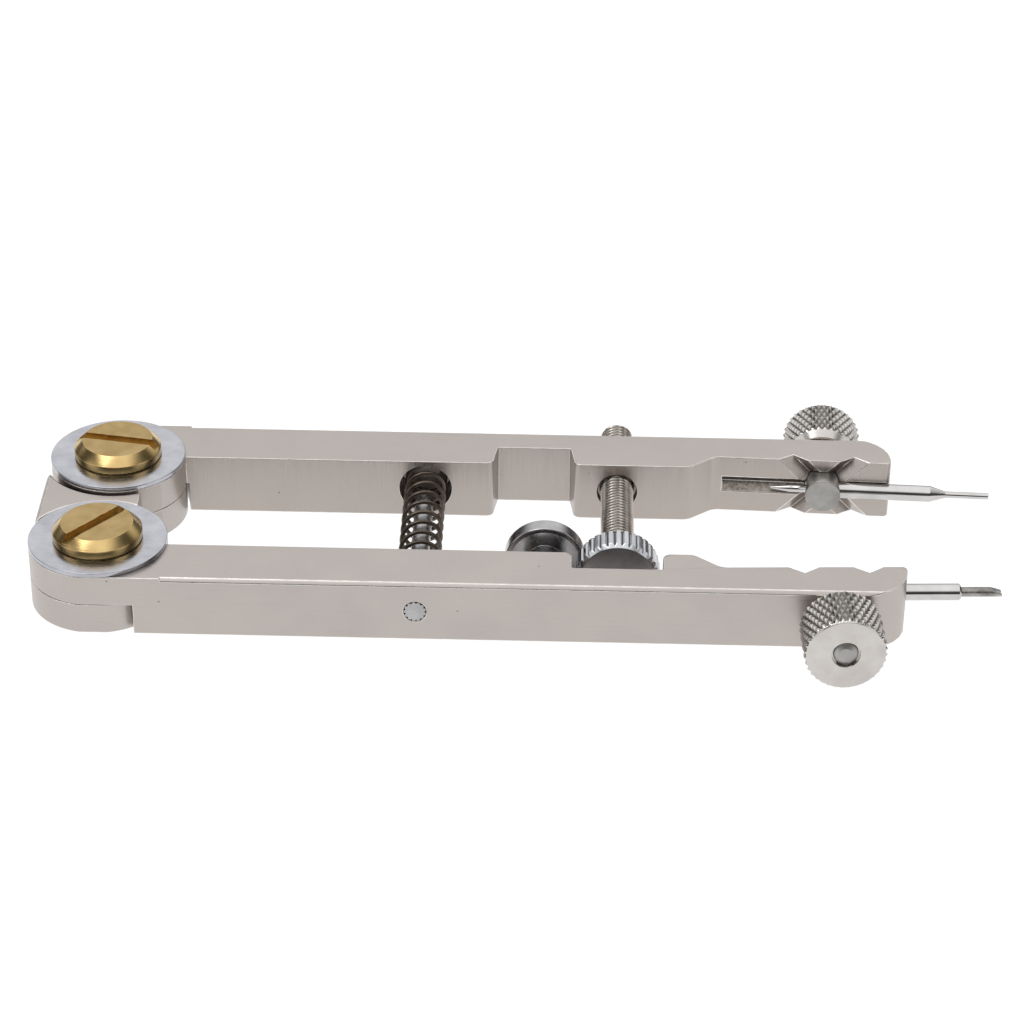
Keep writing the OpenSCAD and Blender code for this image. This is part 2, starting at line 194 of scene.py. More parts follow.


# %% [markdown]
# ## Plated steel of the arms and the bridge
#
# The bars are milled, polished on a belt and nickel plated. To the eye that is a soft,
# slightly warm grey with fine scratches along each bar, up and down on the inner faces,
# and a few dark pin-holes. The edges are worn and are painted brighter as well, a painted
# highlight. The inner faces are painted darker, a painted shade between the arms, and the
# flanks of the groove that holds the bit get a darker painted shade in patches. A colour
# alone would look like plastic, so the scratches steer the roughness and a very shallow
# relief. A face belongs to the inner side where its normal points back to the middle
# plane between the arms.

# %% Plated steel
SCRATCH_WIDTH = 0.22
CLOUD_WIDTH = 9.0
WEAR_PATCH = 1.6
FLANK_SHADE_PATCH = 0.5
PIN_HOLE_SPACING = 2.4
PIN_HOLE_R = 0.13
PIN_HOLE_SHARE = 0.22
PLATING_RELIEF = 0.012 * MM


def plated_steel_finish():
    """Belt-polished nickel plating: scratches, pin-holes, worn edges with painted highlight, painted shade.
    """
    made, tree, shader = metal("nickel_plated_steel", "BBB4B0", 0.34)
    place = add(tree, "ShaderNodeSeparateXYZ", {0: in_mm(tree)}).outputs
    normal = add(tree, "ShaderNodeNewGeometry").outputs["Normal"]
    facing = add(tree, "ShaderNodeSeparateXYZ", {0: normal}).outputs
    side = add(tree, "ShaderNodeMath", {0: place[1]}, operation="SIGN")
    outward = add(tree, "ShaderNodeMath", {0: side, 1: facing[1]}, operation="MULTIPLY")
    inner = add(tree, "ShaderNodeMath", {0: outward, 1: -0.7}, operation="LESS_THAN")
    lengthwise = grain(tree, SCRATCH_WIDTH, 3.0, (45, 1, 1))
    upright = grain(tree, SCRATCH_WIDTH, 3.0, (1, 1, 30))
    scratch = add(tree, "ShaderNodeMix", {0: inner, 2: lengthwise, 3: upright})
    cloud = grain(tree, CLOUD_WIDTH)

    # The rounded edges are painted brighter: partly wear, partly a painted highlight.
    wear_and_highlight = add(tree, "ShaderNodeAttribute", attribute_name="wear_and_highlight").outputs["Fac"]
    patches = add(tree, "ShaderNodeMapRange", {
        **NOISE_SPAN, "Value": grain(tree, WEAR_PATCH, 3.0), "To Min": 0.35, "To Max": 1.0
    })
    wear_and_highlight = add(tree, "ShaderNodeMath", {0: wear_and_highlight, 1: patches}, operation="MULTIPLY")
    # The flanks of the bit's groove get a darker colour in patches: painted shade in the recess.
    flank_shade_mask = add(tree, "ShaderNodeAttribute", attribute_name="flank_shade_mask").outputs["Fac"]
    patches = add(tree, "ShaderNodeMapRange", {
        **NOISE_SPAN, "Value": grain(tree, FLANK_SHADE_PATCH, 3.0), "To Min": 0.35, "To Max": 0.9
    })
    painted_flank_shade = add(tree, "ShaderNodeMath", {0: flank_shade_mask, 1: patches}, operation="MULTIPLY")

    fine = add(tree, "ShaderNodeMapRange", {**NOISE_SPAN, "Value": scratch, "To Min": 0.27, "To Max": 0.42})
    wide = add(tree, "ShaderNodeMapRange", {**NOISE_SPAN, "Value": cloud, "To Min": -0.03, "To Max": 0.05})
    rough = add(tree, "ShaderNodeMath", {0: fine, 1: wide}, operation="ADD")
    rough = add(tree, "ShaderNodeMix", {0: wear_and_highlight, 2: rough, 3: 0.2})
    tree.links.new(rough.outputs[0], shader.inputs["Roughness"])

    patchy = add(tree, "ShaderNodeMapRange", {**NOISE_SPAN, "Value": cloud})
    body = add(tree, "ShaderNodeMix", {
        0: patchy, 6: linear("B7B0AC"), 7: linear("C0B9B4")
    }, data_type="RGBA")
    streak = add(tree, "ShaderNodeMapRange", {
        "Value": scratch, "From Min": 0.25, "From Max": 0.75, "To Min": 0.22, "To Max": 0.0
    })
    # The inner faces get a darker colour: painted shade between the arms.
    inner_painted_shade = add(tree, "ShaderNodeMath", {0: inner, 1: 0.3}, operation="MULTIPLY")
    holes = dots(tree, PIN_HOLE_SPACING, PIN_HOLE_R, PIN_HOLE_SHARE)
    holes = add(tree, "ShaderNodeMath", {0: holes, 1: 0.7}, operation="MULTIPLY")
    # Layers: scratch streaks, painted inner shade, wear with painted highlight, painted groove shade,
    # pin-holes.
    layers = [
        (streak, "8F8781"), (inner_painted_shade, "A0948A"), (wear_and_highlight, "E4DFDA"), (painted_flank_shade, "5E564D"), (holes, "4A423B")
    ]
    for share, colour in layers:
        body = add(tree, "ShaderNodeMix", {0: share, 6: body, 7: linear(colour)}, data_type="RGBA")
    tree.links.new(body.outputs[2], shader.inputs["Base Color"])

    height = add(tree, "ShaderNodeMath", {0: cloud, 1: 0.5, 2: scratch}, operation="MULTIPLY_ADD")
    relief = add(tree, "ShaderNodeBump", {"Height": height, "Distance": PLATING_RELIEF, "Strength": 0.6})
    tree.links.new(relief.outputs[0], shader.inputs["Normal"])
    return made


plated_steel = plated_steel_finish()
print("plated steel:", len(plated_steel.node_tree.nodes), "nodes")

# %% [markdown]
# ## Bare and bright steels
#
# The washers are ground flat: a cool grey, smooth enough to mirror the brass above them.
# The wheel and the catch screw are turned, which leaves faint marks on a bright face. The
# rod's thread is rolled and the nuts are knurled and plated: bright on the ridges, and
# painted darker in the grooves, a painted shade that deepens with the groove's depth,
# which the cutting tree marks in an attribute. The studs are duller, the spring wire is
# brown from tempering, the bits are polished nearly to a mirror, and the blade is rough
# from the forge. One function makes them all, because only the two tones, the smoothness
# and the tool marks differ.

# %% Bare and bright steels
STEEL_CLOUD = 3.0
GROOVE_SHADE_COLOUR = "2E2A27"


def bare_steel_finish(name, light, dark, roughness, mark_width, stretch=(1, 1, 1), depth=0.006):
    """Steel in two tones, with tool marks of one width and depth in millimetres."""
    made, tree, shader = metal(name, light, roughness)
    patchy = add(tree, "ShaderNodeMapRange", {**NOISE_SPAN, "Value": grain(tree, STEEL_CLOUD, 3.0)})
    tone = add(tree, "ShaderNodeMix", {0: patchy, 6: linear(light), 7: linear(dark)}, data_type="RGBA")
    # Points deep in a cut groove get a dark colour: painted shade in the groove.
    groove = add(tree, "ShaderNodeAttribute", attribute_name="groove").outputs["Fac"]
    groove_shade_share = add(tree, "ShaderNodeMapRange", {"Value": groove, "From Min": 0.4, "To Max": 0.85})
    tone = add(tree, "ShaderNodeMix", {0: groove_shade_share, 6: tone, 7: linear(GROOVE_SHADE_COLOUR)}, data_type="RGBA")
    tree.links.new(tone.outputs[2], shader.inputs["Base Color"])

    marks = grain(tree, mark_width, 3.0, stretch)
    change = add(tree, "ShaderNodeMapRange", {
        **NOISE_SPAN, "Value": marks, "To Min": -0.06, "To Max": 0.08
    })
    rough = add(tree, "ShaderNodeMath", {0: change, 1: roughness}, operation="ADD")
    tree.links.new(rough.outputs[0], shader.inputs["Roughness"])
    relief = add(tree, "ShaderNodeBump", {"Height": marks, "Distance": depth * MM, "Strength": 0.6})
    tree.links.new(relief.outputs[0], shader.inputs["Normal"])
    return made


ground_steel = bare_steel_finish("ground_steel", "BDBEC4", "A9AAB0", 0.2, 0.25, (12, 1, 1))
bright_steel = bare_steel_finish("bright_steel", "B4B3B4", "9C9A9A", 0.25, 0.3)
stud_steel = bare_steel_finish("stud_steel", "B0AEAC", "908E8B", 0.38, 0.3)
wheel_steel = bare_steel_finish("turned_wheel_steel", "CCCDD1", "B6B7BB", 0.2, 0.25, depth=0.003)
catch_steel = bare_steel_finish("turned_catch_steel", "B9B9BB", "9B9A9B", 0.2, 0.25)
threaded_steel = bare_steel_finish("rolled_thread_steel", "C4BCB4", "A9A098", 0.2, 0.3, depth=0.002)
knurled_plating = bare_steel_finish("nickel_plated_knurl", "CAC6C2", "BBB6B1", 0.17, 0.25, depth=0.003)
spring_steel = bare_steel_finish("tempered_spring_wire", "6A6057", "4E463F", 0.32, 0.3)
bit_chrome = bare_steel_finish("polished_bit_steel", "CFCDCC", "BDBBBA", 0.08, 0.3, (14, 1, 1), 0.002)
fork_steel = bare_steel_finish("forged_blade_steel", "BDBBB8", "77736F", 0.36, 0.35, depth=0.05)
print("finishes so far:", [made.name for made in bpy.data.materials])

# %% [markdown]
# ## Brass of the pivot screws
#
# The heads are turned brass. The tool leaves fine rings on the bevel, and they spread
# the light into a bright sweep on one side and a dark one on the other. The rings are
# noise that depends only on the distance from the pivot's axis and on the height. The top
# was faced and then handled, so it is browner and duller, with a fine grain.

# %% Brass
RING_WIDTH = 0.16
BRASS_GRAIN = 0.28
BRASS_CLOUD = 2.2
BRASS_RELIEF = 0.012 * MM
screw_low, screw_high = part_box("rear_pivot_screw")
PIVOT_Y_MM = (screw_low.y + screw_high.y) / 2 / MM


def brass_finish():
    """Turned brass: rings on the bevel and a duller, handled top."""
    made, tree, shader = metal("turned_brass", "C7A165", 0.3)
    place = add(tree, "ShaderNodeSeparateXYZ", {0: in_mm(tree)}).outputs
    from_middle = add(tree, "ShaderNodeMath", {0: place[1]}, operation="ABSOLUTE")
    sideways = add(tree, "ShaderNodeMath", {0: from_middle, 1: PIVOT_Y_MM}, operation="SUBTRACT")
    from_axis = add(tree, "ShaderNodeCombineXYZ", {0: place[0], 1: sideways})
    radius = add(tree, "ShaderNodeVectorMath", {0: from_axis}, operation="LENGTH").outputs["Value"]
    section = add(tree, "ShaderNodeCombineXYZ", {0: radius, 1: place[2]})
    rings = add(tree, "ShaderNodeTexNoise", {"Vector": section, "Scale": 1 / RING_WIDTH, "Detail": 2.0})
    normal = add(tree, "ShaderNodeNewGeometry").outputs["Normal"]
    upright = add(tree, "ShaderNodeSeparateXYZ", {0: normal}).outputs[2]
    flat = add(tree, "ShaderNodeMath", {0: upright, 1: 0.95}, operation="GREATER_THAN")

    fine = grain(tree, BRASS_GRAIN, 3.0)
    share = add(tree, "ShaderNodeMath", {0: flat, 1: 0.6}, operation="MULTIPLY")
    height = add(tree, "ShaderNodeMix", {0: share, 2: rings, 3: fine})
    relief = add(tree, "ShaderNodeBump", {"Height": height, "Distance": BRASS_RELIEF, "Strength": 0.8})
    tree.links.new(relief.outputs[0], shader.inputs["Normal"])
    handled = add(tree, "ShaderNodeMapRange", {
        **NOISE_SPAN, "Value": fine, "To Min": 0.34, "To Max": 0.46
    })
    rough = add(tree, "ShaderNodeMix", {0: flat, 2: 0.22, 3: handled})
    tree.links.new(rough.outputs[0], shader.inputs["Roughness"])

    patchy = add(tree, "ShaderNodeMapRange", {**NOISE_SPAN, "Value": grain(tree, BRASS_CLOUD, 3.0)})
    bevel = add(tree, "ShaderNodeMix", {
        0: patchy, 6: linear("D2B67E"), 7: linear("C2A46E")
    }, data_type="RGBA")
    top = add(tree, "ShaderNodeMix", {
        0: patchy, 6: linear("BDA474"), 7: linear("AA905F")
    }, data_type="RGBA")
    body = add(tree, "ShaderNodeMix", {0: flat, 6: bevel, 7: top}, data_type="RGBA")
    tree.links.new(body.outputs[2], shader.inputs["Base Color"])
    return made


brass = brass_finish()
print("pivots at y = ±", round(PIVOT_Y_MM, 3), "mm")

# %% [markdown]
# ## Rounded edges
#
# No real edge is perfectly sharp: plating and handling leave a radius of a tenth of a
# millimetre, and it catches a thin bright line of light. The milled pieces are copied
# from the CAD model, welded, and every sharp edge gets that radius. The new faces are
# marked for wear and a painted highlight, which a finish paints brighter, and the flanks
# of the bit's groove are marked for a painted shade. Weighted normals then keep the large
# faces flat to the eye. On the bridge only the outer edges are rounded, because the web's
# rounded corner stands on a ledge there and a rounded inner edge would push the mesh
# outwards.

# %% Helpers for shading
SHARP_ANGLE = math.radians(28)
FLAT_ANGLE = math.radians(0.5)
WELD = 0.0005 * MM
ARM_EDGE = 0.12 * MM
GROOVE_HALF = 1.6 * MM
FLANK_TILT = (0.5, 0.85)
bar_low, bar_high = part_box("rear_arm")
GROOVE_HEIGHT = (bar_low.z + bar_high.z) / 2


def bake_modifiers(piece):
    """Turns what the modifiers make into the piece's own plain mesh."""
    seen = piece.evaluated_get(bpy.context.evaluated_depsgraph_get())
    mesh = bpy.data.meshes.new_from_object(seen)
    piece.modifiers.clear()
    piece.data = mesh
    mesh.name = piece.name
    return piece


def weigh_normals(piece, keep_sharp):
    """Lets the largest faces at each corner decide the shading."""
    modifier = piece.modifiers.new("weighted normals", "WEIGHTED_NORMAL")
    modifier.weight = 100
    modifier.keep_sharp = keep_sharp
    return bake_modifiers(piece)


def finished(name, mesh, weighted=True):
    """A shaded object of a mesh; weighted normals keep its large faces flat."""
    piece = bpy.data.objects.new(name, mesh)
    bpy.context.scene.collection.objects.link(piece)
    mesh.shade_smooth()
    if weighted:
        weigh_normals(piece, keep_sharp=False)
    return piece


def smooth_below(piece, degrees):
    """Shades a piece smooth, but keeps every edge sharper than the angle as an edge."""
    piece.data.shade_smooth()
    piece.data.set_sharp_from_angle(angle=math.radians(degrees))
    return piece


print("the bits' grooves run at z =", round(GROOVE_HEIGHT / MM, 2), "mm")


# %% Milled pieces from their CAD nodes
def in_groove(face):
    """Whether a face is a flank of the bit's groove, which runs along the bar half-way up."""
    leans = FLANK_TILT[0] < abs(face.normal.z) < FLANK_TILT[1] and abs(face.normal.x) < 0.1
    return leans and abs(face.calc_center_median().z - GROOVE_HEIGHT) < GROOVE_HALF


def milled(name, node, edge_radius, segments=2, outer_only=False):
    """A copy of a CAD node with rounded edges, marked for wear and painted highlight, and groove flanks
    marked for painted shade.
    """
    shape = bmesh.new()
    shape.from_mesh(frame["nodes"][node].data)
    wear_and_highlight = shape.faces.layers.float.new("wear_and_highlight")
    flank_shade_mask = shape.faces.layers.float.new("flank_shade_mask")
    bmesh.ops.remove_doubles(shape, verts=shape.verts, dist=WELD)
    bmesh.ops.dissolve_limit(
        shape, angle_limit=FLAT_ANGLE, verts=shape.verts, edges=shape.edges,
        use_dissolve_boundaries=False
    )
    sharp = [e for e in shape.edges if e.is_manifold and e.calc_face_angle(0) > SHARP_ANGLE]
    if outer_only:
        sharp = [e for e in sharp if e.is_convex]
    made = bmesh.ops.bevel(
        shape, geom=sharp, offset=edge_radius, segments=segments, profile=0.5, affect="EDGES",
        clamp_overlap=False
    )
    # The rounded edges are marked for wear and a painted highlight.
    for face in made["faces"]:
        face[wear_and_highlight] = 1.0
    # The flanks of the bit's groove are marked for a painted shade.
    for face in shape.faces:
        if face[wear_and_highlight] == 0 and in_groove(face):
            face[flank_shade_mask] = 1.0
    bmesh.ops.triangulate(shape, faces=[f for f in shape.faces if len(f.verts) > 4])
    mesh = bpy.data.meshes.new(name)
    shape.to_mesh(mesh)
    shape.free()
    piece = finished(name, mesh)
    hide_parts(node)
    print(name, "has", len(piece.data.polygons), "faces")
    return piece


front_arm = milled("front_arm_bar", "front_arm", ARM_EDGE)
rear_arm = milled("rear_arm_bar", "rear_arm", ARM_EDGE)
bridge = milled("bridge_block", "bridge", ARM_EDGE, outer_only=True)

# %% [markdown]
# ## Turned pieces
#
# Washers, screws, bits and studs come off a lathe, so each is one outline swept round an
# axis. The outline is a list of radius, height and corner radius; round corners become
# short arcs. Building it this way, and not from the CAD triangles, gives a smooth rim
# however close the eye comes.


# %% Outlines
def turned_2d(v, angle):
    """A flat vector turned by an angle."""
    c, s = math.cos(angle), math.sin(angle)
    return Vector((v.x * c - v.y * s, v.x * s + v.y * c))


def arc_corner(point, before, after, radius, steps=4):
    """The points of one rounded corner of an outline."""
    to_before, to_after = (before - point), (after - point)
    reach = min(to_before.length, to_after.length) * 0.45
    to_before.normalize()
    to_after.normalize()
    half = to_before.angle(to_after) / 2
    if radius <= 0 or half > math.radians(88):
        return [point]
    radius = min(radius, reach * math.tan(half))
    centre = point + (to_before + to_after).normalized() * (radius / math.sin(half))
    start = point + to_before * (radius / math.tan(half)) - centre
    side = -1 if to_before.cross(to_after) > 0 else 1
    sweep = side * (math.pi - 2 * half)
    return [centre + turned_2d(start, sweep * i / steps) for i in range(steps + 1)]


def outline(points):
    """Rounds the corners of [radius, height, corner radius] points; the ends stay."""
    flat = [Vector((p[0], p[1])) for p in points]
    done = [flat[0]]
    for i in range(1, len(flat) - 1):
        done += arc_corner(flat[i], flat[i - 1], flat[i + 1], points[i][2])
    return done + [flat[-1]]


def split(points, step):
    """Adds points so that no stretch of an outline is longer than step."""
    done = [points[0]]
    for a, b in zip(points, points[1:]):
        parts = max(1, math.ceil((b - a).length / step - 1e-6))
        done += [a.lerp(b, i / parts) for i in range(1, parts + 1)]
    return done


test = outline([(0, 0, 0), (2, 0, 0.5), (2, 1, 0)])
print("one rounded corner makes", len(test), "points of 3")


# %% The lathe
ON_AXIS = 0.0001 * MM


def lathe(name, points, around=128, ring=False):
    """A closed mesh: an outline turned round Z. A ring's outline joins its own start."""
    shape = bmesh.new()
    rows = []
    circle = [(math.cos(TAU * k / around), math.sin(TAU * k / around)) for k in range(around)]
    for p in points[:-1] if ring else points:
        if p.x < ON_AXIS:
            rows.append([shape.verts.new((0, 0, p.y))])
        else:
            rows.append([shape.verts.new((p.x * x, p.x * y, p.y)) for x, y in circle])
    pairs = list(zip(rows, rows[1:])) + ([(rows[-1], rows[0])] if ring else [])
    for low, high in pairs:
        for k in range(around):
            n = (k + 1) % around
            corners = [low[k % len(low)], low[n % len(low)], high[n % len(high)], high[k % len(high)]]
            unique = list(dict.fromkeys(corners))
            if len(unique) > 2:
                shape.faces.new(unique)
    bmesh.ops.recalc_face_normals(shape, faces=shape.faces)
    mesh = bpy.data.meshes.new(name)
    shape.to_mesh(mesh)
    shape.free()
    return mesh


def set_in_place(mesh, origin, direction):
    """Moves a mesh that was turned round Z so that its axis starts at origin."""
    turn = Vector((0, 0, 1)).rotation_difference(Vector(direction)).to_matrix().to_4x4()
    mesh.transform(Matrix.Translation(origin) @ turn)
    return mesh


def axis_of(node, direction):
    """Where a round CAD node's axis starts, and its radius and length along that axis."""
    ahead = Vector(direction).normalized()
    across = ahead.orthogonal().normalized()
    points = [v.co for v in frame["nodes"][node].data.vertices]
    spans = []
    for way in (ahead, across, ahead.cross(across)):
        reach = [way.dot(point) for point in points]
        spans.append((way, min(reach), max(reach)))
    start = ahead * spans[0][1]
    for way, low, high in spans[1:]:
        start += way * (low + high) / 2
    return start, (spans[1][2] - spans[1][1]) / 2, spans[0][2] - spans[0][1]


start, radius, length = axis_of("width_rod", (0, 1, 0))
print("the rod is", round(2 * radius / MM, 2), "mm thick and", round(length / MM, 2), "mm long")


# %% [markdown]
# ## Pivot washers
#
# Each arm is held down by a wide, thin washer of ground steel. Its two faces are flat and
# its rims are barely broken, so a ring outline with tiny corner radii is all it needs.

# %% Pivot washers
UP = (0, 0, 1)
SHOULDER_R = 4 * MM
WASHER_EDGE = 0.1 * MM


def pivot_washer(side):
    node = side + "_pivot_washer"
    start, radius, thickness = axis_of(node, UP)
    rim = WASHER_EDGE
    ring = outline([
        (SHOULDER_R, thickness / 2, 0), (SHOULDER_R, thickness, rim), (radius, thickness, rim),
        (radius, 0, rim), (SHOULDER_R, 0, rim), (SHOULDER_R, thickness / 2, 0)
    ])
    mesh = set_in_place(lathe(node + "_ring", ring, around=192, ring=True), start, UP)
    piece = finished(node + "_ring", mesh)
    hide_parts(node)
    return piece


washers = [pivot_washer(side) for side in ("front", "rear")]
print("washers:", [w.name for w in washers])

# %% [markdown]
# ## Brass pivot screws
#
# A brass shoulder screw holds each arm: a straight band, a wide bevel and a flat top with
# a sawn slot. The slot was cut after turning, so its edges are burred and not quite
# straight. The cutter is therefore a bar whose sides wander by a few hundredths of a
# millimetre, and a Boolean takes it out of the turned head.

# %% Brass pivot screws
HEAD_BAND = 1.3 * MM
HEAD_BEVEL = 1.3 * MM
SLOT_WIDTH = 1.6 * MM
SLOT_DEPTH = 1.1 * MM
SLOT_TURN = {"front": math.radians(51), "rear": math.radians(-10)}
SLOT_FLARE = 1.04
BURR = 0.09 * MM
BURR_LENGTH = 1.1 * MM
HEAD_EDGE = 0.12 * MM
HEAD_GAP = 0.18 * MM


def slot_cutter(length, turn, seed):
    """A bar with uneven sides, lying along X on the head's top before it is turned."""
    shape = bmesh.new()
    parts = 80
    rows = []
    for i in range(parts + 1):
        x = (i / parts - 0.5) * length
        near, far = [
            side * (SLOT_WIDTH / 2 + BURR * noise.noise(Vector((x / BURR_LENGTH, side * 5, seed))))
            for side in (-1, 1)
        ]
        corners = [
            (x, near, -SLOT_DEPTH), (x, far, -SLOT_DEPTH),
            (x, far * SLOT_FLARE, SLOT_DEPTH), (x, near * SLOT_FLARE, SLOT_DEPTH)
        ]
        rows.append([shape.verts.new(corner) for corner in corners])
    for low, high in zip(rows, rows[1:]):
        for k in range(4):
            shape.faces.new((low[k], low[(k + 1) % 4], high[(k + 1) % 4], high[k]))
    shape.faces.new(rows[0])
    shape.faces.new(rows[-1][::-1])
    bmesh.ops.recalc_face_normals(shape, faces=shape.faces)
    shape.transform(Matrix.Rotation(turn, 4, "Z"))
    mesh = bpy.data.meshes.new("slot cutter")
    shape.to_mesh(mesh)
    shape.free()
    return mesh


def cut(piece, cutter_mesh):
    """Takes one mesh out of a piece with an exact Boolean."""
    cutter = bpy.data.objects.new("cutter", cutter_mesh)
    bpy.context.scene.collection.objects.link(cutter)
    modifier = piece.modifiers.new("cut", "BOOLEAN")
    modifier.operation = "DIFFERENCE"
    modifier.solver = "EXACT"
    modifier.object = cutter
    bake_modifiers(piece)
    bpy.data.objects.remove(cutter)
    return piece


def pivot_screw(side, seed):
    node = side + "_pivot_screw"
    start, radius, height = axis_of(node, UP)
    washer_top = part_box(side + "_pivot_washer")[1].z
    head = washer_top - start.z
    edge = HEAD_EDGE
    gap = HEAD_GAP
    profile = outline([
        (0, 0, 0), (SHOULDER_R * 0.7, 0, edge), (SHOULDER_R * 0.7, head / 2, 0),
        (SHOULDER_R, head / 2, 0), (SHOULDER_R, head, 0), (radius - 2 * gap, head, 0),
        (radius - gap, head + gap, edge), (radius, head + gap, edge), (radius, head + HEAD_BAND, edge),
        (radius - HEAD_BEVEL, height, edge), (0, height, 0)
    ])
    piece = finished(node + "_head", lathe(node + "_head", profile, around=160), weighted=False)
    cutter = slot_cutter(3 * radius, SLOT_TURN[side], seed)
    cutter.transform(Matrix.Translation((0, 0, height)))
    cut(piece, cutter)
    set_in_place(piece.data, start, UP)
    smooth_below(piece, 25)
    weigh_normals(piece, keep_sharp=True)
    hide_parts(node)
    return piece


screws = [pivot_screw("front", 1.7), pivot_screw("rear", 6.2)]
print("screw faces:", [len(s.data.polygons) for s in screws])

# %% [markdown]
# ## Cut patterns: knurls and threads
#
# A knurl is many crossed grooves, and a thread is one long groove. Both follow a rule, so
# one Geometry Nodes tree makes them all. It measures the angle and height of every point
# of a turned blank, works out how far that point is from the nearest groove of two
# families, and pulls it in to the depth of the cut. A straight knurl is the same with
# grooves that don't climb. The blank's chamfers stay, because a point never moves out.

# %% The groove-cutting tree
def groove_tree():
    """Geometry Nodes that cut two families of grooves into a blank turned round Z."""
    tree = bpy.data.node_groups.new("cut grooves", "GeometryNodeTree")
    tree.interface.new_socket("Geometry", in_out="OUTPUT", socket_type="NodeSocketGeometry")
    tree.interface.new_socket("Geometry", in_out="INPUT", socket_type="NodeSocketGeometry")
    for name in ("Radius", "Depth", "Starts", "First climb", "Second climb", "Flat", "Low", "High"):
        tree.interface.new_socket(name, in_out="INPUT", socket_type="NodeSocketFloat")
    tree.interface.new_socket("Material", in_out="INPUT", socket_type="NodeSocketMaterial")
    given = add(tree, "NodeGroupInput").outputs
    position = add(tree, "GeometryNodeInputPosition")
    place = add(tree, "ShaderNodeSeparateXYZ", {0: position}).outputs
    angle = add(tree, "ShaderNodeMath", {0: place[1], 1: place[0]}, operation="ARCTAN2")
    turn = add(tree, "ShaderNodeMath", {0: angle, 1: TAU}, operation="DIVIDE")
    around = add(tree, "ShaderNodeMath", {0: turn, 1: given["Starts"]}, operation="MULTIPLY")

    # Each family's value is 0 at the bottom of a groove and 1 half-way between two grooves.
    families = []
    for climb in ("First climb", "Second climb"):
        phase = add(tree, "ShaderNodeMath", {
            0: place[2], 1: given[climb], 2: around
        }, operation="MULTIPLY_ADD")
        wave = add(tree, "ShaderNodeMath", {0: phase, 1: 0.5}, operation="PINGPONG")
        families.append(add(tree, "ShaderNodeMath", {0: wave, 1: 2.0}, operation="MULTIPLY"))
    nearest = add(tree, "ShaderNodeMath", {0: families[0], 1: families[1]}, operation="MINIMUM")
    flank = add(tree, "ShaderNodeMath", {0: nearest, 1: given["Flat"]}, operation="DIVIDE")
    flank = add(tree, "ShaderNodeMath", {0: flank, 1: 1.0}, operation="MINIMUM")

    # The grooves are cut only between the two heights, and never outwards.
    above = add(tree, "ShaderNodeMath", {0: place[2], 1: given["Low"]}, operation="GREATER_THAN")
    below = add(tree, "ShaderNodeMath", {0: place[2], 1: given["High"]}, operation="LESS_THAN")
    inside = add(tree, "ShaderNodeMath", {0: above, 1: below}, operation="MULTIPLY")
    hollow = add(tree, "ShaderNodeMath", {0: 1.0, 1: flank}, operation="SUBTRACT")
    cut_share = add(tree, "ShaderNodeMath", {0: hollow, 1: inside}, operation="MULTIPLY")
    drop = add(tree, "ShaderNodeMath", {0: cut_share, 1: given["Depth"]}, operation="MULTIPLY")
    floor = add(tree, "ShaderNodeMath", {0: given["Radius"], 1: drop}, operation="SUBTRACT")
    from_axis = add(tree, "ShaderNodeCombineXYZ", {0: place[0], 1: place[1]})
    radius = add(tree, "ShaderNodeVectorMath", {0: from_axis}, operation="LENGTH").outputs["Value"]
    pulled = add(tree, "ShaderNodeMath", {0: radius, 1: floor}, operation="MINIMUM")
    safe = add(tree, "ShaderNodeMath", {0: radius, 1: 1e-6}, operation="MAXIMUM")
    scale = add(tree, "ShaderNodeMath", {0: pulled, 1: safe}, operation="DIVIDE")
    across = add(tree, "ShaderNodeMath", {0: place[0], 1: scale}, operation="MULTIPLY")
    ahead = add(tree, "ShaderNodeMath", {0: place[1], 1: scale}, operation="MULTIPLY")
    moved = add(tree, "ShaderNodeCombineXYZ", {0: across, 1: ahead, 2: place[2]})

    # The attribute tells the finish how deep in a groove each point lies.
    reached = add(tree, "ShaderNodeMath", {0: floor, 1: radius}, operation="LESS_THAN")
    groove = add(tree, "ShaderNodeMath", {0: cut_share, 1: reached}, operation="MULTIPLY")
    marked = add(tree, "GeometryNodeStoreNamedAttribute", {
        "Geometry": given["Geometry"], "Name": "groove", "Value": groove
    }, data_type="FLOAT", domain="POINT")
    shaped = add(tree, "GeometryNodeSetPosition", {"Geometry": marked, "Position": moved})
    real = add(tree, "GeometryNodeRealizeInstances", {"Geometry": shaped})
    painted = add(tree, "GeometryNodeSetMaterial", {"Geometry": real, "Material": given["Material"]})
    add(tree, "NodeGroupOutput", {0: painted})
    return tree


def run_tree(piece, tree, values):
    """Runs a tree on a piece, setting each named input by its socket's identifier."""
    modifier = piece.modifiers.new(tree.name, "NODES")
    modifier.node_group = tree
    for item in tree.interface.items_tree:
        if item.in_out == "INPUT" and item.name in values:
            modifier[item.identifier] = values[item.name]
    return bake_modifiers(piece)


cut_grooves = groove_tree()
print("groove tree:", len(cut_grooves.nodes), "nodes")

# %% [markdown]
# ## The knurled wheel
#
# The wheel sits in the front arm's notch and sets how far the arms close. Its rim has a
# straight knurl: thirty-four teeth that run along its axis. The chamfer on the front is
# wider than the teeth are deep, which leaves a smooth bright ring there. Twelve columns
# of the mesh for each tooth keep the flanks crisp.

# %% The wheel
TO_REAR = (0, 1, 0)


